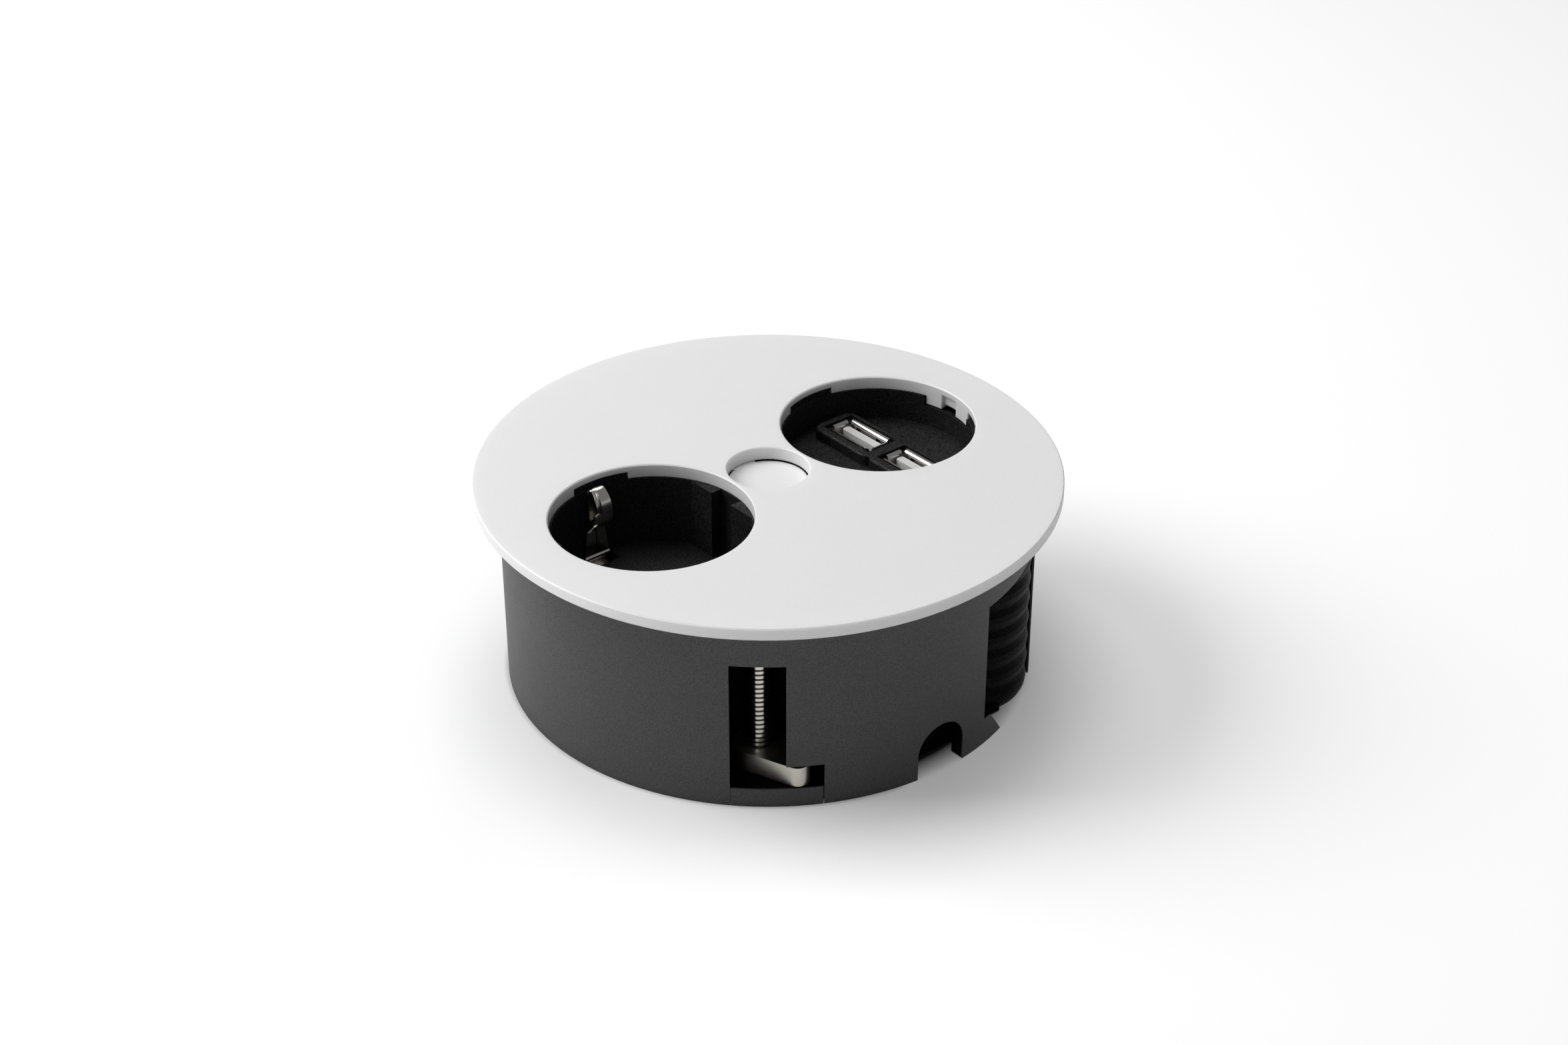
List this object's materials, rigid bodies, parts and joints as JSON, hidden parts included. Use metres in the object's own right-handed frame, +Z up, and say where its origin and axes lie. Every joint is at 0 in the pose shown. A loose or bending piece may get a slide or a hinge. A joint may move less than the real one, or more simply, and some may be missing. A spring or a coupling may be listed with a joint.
{
  "type": "in-desk power module",
  "caption": "Round desk-top power module: earthed recessed socket, charging ports, centre button, clip-fitted cover and swing-out clamps under the flange.",
  "frame": {"origin": "centre of the round body at its lowest face", "axes": "+Z up out of the desk top, +X towards the charging ports, -Y towards the cord arch"},
  "size_m": [0.127, 0.127, 0.047],
  "materials": {
    "cover_white": "satin",
    "body_anthracite": "fine grain, matt",
    "insert_black": "fine grain, matt",
    "sleeve_rubber": "matt",
    "screw_steel": "zinc plated",
    "claw_nickel": "satin nickel",
    "strap_nickel": "nickel-plated sheet",
    "shell_steel": "bright tin plate",
    "port_grey": "satin",
    "contact_brass": "satin",
    "board_green": "lacquered",
    "can_aluminium": "satin"
  },
  "bodies": {
    "module": {"cover_plate": "cover_white", "housing": "body_anthracite", "base_cover": "body_anthracite", "base_screws": "screw_steel", "socket_insert": "insert_black", "contact_carrier": "insert_black", "earth_strap": "strap_nickel", "contact_sleeve_left": "contact_brass", "contact_sleeve_right": "contact_brass", "usb_insert": "insert_black", "usb_shell_far": "shell_steel", "usb_shell_near": "shell_steel", "usb_tongue_far": "port_grey", "usb_tongue_near": "port_grey", "usb_contacts_far": "contact_brass", "usb_contacts_near": "contact_brass", "charger_board": "board_green", "charger_transformer": "insert_black", "charger_capacitors": "can_aluminium", "insert_screws": "screw_steel", "clamp_washers": "screw_steel", "cord_sleeve": "sleeve_rubber", "terminal_block": "port_grey", "terminal_screws": "screw_steel", "switch_body": "insert_black"},
    "button": {"centre_button": "cover_white", "switch_plunger": "port_grey"},
    "claw_front": {"clamp_claw_front": "claw_nickel"},
    "claw_back": {"clamp_claw_back": "claw_nickel"},
    "screw_front": {"clamp_screw_front": "screw_steel"},
    "screw_back": {"clamp_screw_back": "screw_steel"}
  },
  "joints": [
    {"name": "button_press", "type": "slide", "parent": "module", "child": "button", "axis": [0, 0, -1], "range_m": [0, 0.0015], "stiffness_N_per_m": 1000, "springref_m": -0.0008},
    {"name": "claw_front_swing", "type": "hinge", "parent": "module", "child": "claw_front", "pos_m": [-0.03156, -0.03536, 0.007], "axis": [0, 0, -1], "range_deg": [0, 60]},
    {"name": "claw_back_swing", "type": "hinge", "parent": "module", "child": "claw_back", "pos_m": [0.03156, 0.03536, 0.007], "axis": [0, 0, -1], "range_deg": [0, 60]},
    {"name": "screw_front_turn", "type": "hinge", "parent": "module", "child": "screw_front", "pos_m": [-0.03156, -0.03536, 0.02], "axis": [0, 0, -1], "continuous": true},
    {"name": "screw_back_turn", "type": "hinge", "parent": "module", "child": "screw_back", "pos_m": [0.03156, 0.03536, 0.02], "axis": [0, 0, -1], "continuous": true}
  ]
}
